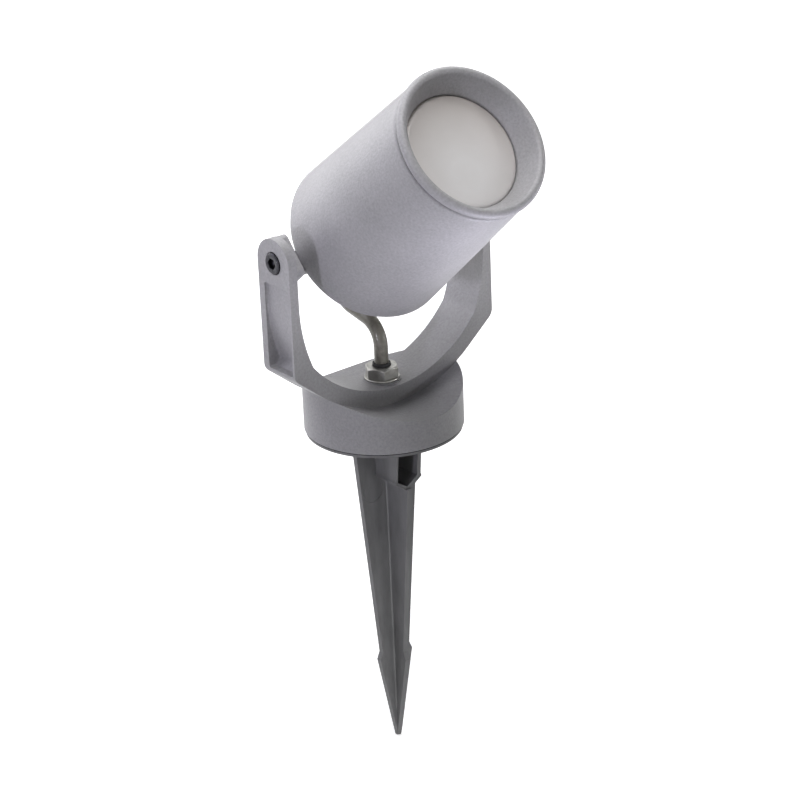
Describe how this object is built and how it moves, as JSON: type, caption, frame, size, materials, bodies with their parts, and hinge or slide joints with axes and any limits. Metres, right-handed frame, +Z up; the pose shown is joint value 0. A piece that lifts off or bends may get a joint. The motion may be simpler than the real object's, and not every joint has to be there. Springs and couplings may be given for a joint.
{
  "type": "garden spike spotlight",
  "caption": "Garden spike spotlight: a tilting cylindrical lamp head in a U yoke on a round canopy, over a finned ground spike.",
  "frame": {"origin": "on the canopy's axis at the canopy's lower rim, where the ground is", "axes": "+Z up along the spike's axis, +X along the head's tilt axis, -Y towards the front, where the beam points"},
  "size_m": [0.1252, 0.1383, 0.3675],
  "materials": {
    "coat": "fine-texture silver-grey powder coat on cast aluminium",
    "spike_plastic": "dark grey moulded nylon",
    "rubber": "black rubber",
    "cable_sheath": "grey rubber sheath",
    "black_steel": "black oxide",
    "gland_metal": "nickel-plated gland",
    "bright_steel": "zinc-plated",
    "ceramic": "glazed ceramic",
    "lamp_glass": "silvered reflector glass",
    "lens": "frosted"
  },
  "bodies": {
    "base": {"yoke": "coat", "canopy": "coat", "base_gasket": "rubber", "bottom_cover": "spike_plastic", "cover_screws": "black_steel", "spike": "spike_plastic", "spike_screws": "black_steel", "spike_nuts": "bright_steel", "supply_grommet": "rubber", "terminal_block": "ceramic", "base_gland_body": "gland_metal", "base_gland_nut": "gland_metal", "base_gland_seal": "rubber", "lead": "cable_sheath"},
    "head": {"rear_housing": "coat", "rear_seal": "rubber", "head_hood": "coat", "hood_screws": "black_steel", "pivot_screw_left": "black_steel", "pivot_screw_right": "black_steel", "pivot_washer_left": "rubber", "pivot_washer_right": "rubber", "rear_gland_body": "gland_metal", "rear_gland_nut": "gland_metal", "rear_gland_seal": "rubber", "holder_bracket": "bright_steel", "bracket_screws": "bright_steel", "lamp_holder": "ceramic"},
    "lamp": {"lamp": "lamp_glass"},
    "lens_pack": {"lens_glass": "lens", "lens_seal": "rubber"},
    "front_ring": {"front_ring": "coat"}
  },
  "joints": [
    {"name": "head_tilt", "type": "hinge", "parent": "base", "child": "head", "pos_m": [0, 0, 0.1], "axis": [1, 0, 0], "range_deg": [-50, 25], "deforming": ["lead"]},
    {"name": "lamp_twist", "type": "hinge", "parent": "head", "child": "lamp", "pos_m": [0, 0, 0.1], "axis": [0, -0.766, 0.6428], "range_deg": [-25, 0]},
    {"name": "ring_travel", "type": "slide", "parent": "head", "child": "lens_pack", "axis": [0, -0.766, 0.6428], "range_m": [0, 0.009]},
    {"name": "ring_turn", "type": "hinge", "parent": "lens_pack", "child": "front_ring", "pos_m": [0, 0, 0.1], "axis": [0, -0.766, 0.6428], "range_deg": [0, 1080]}
  ],
  "couplings": [
    {"joint": "ring_travel", "follows": "ring_turn", "m_per_rad": 0.00047746}
  ]
}
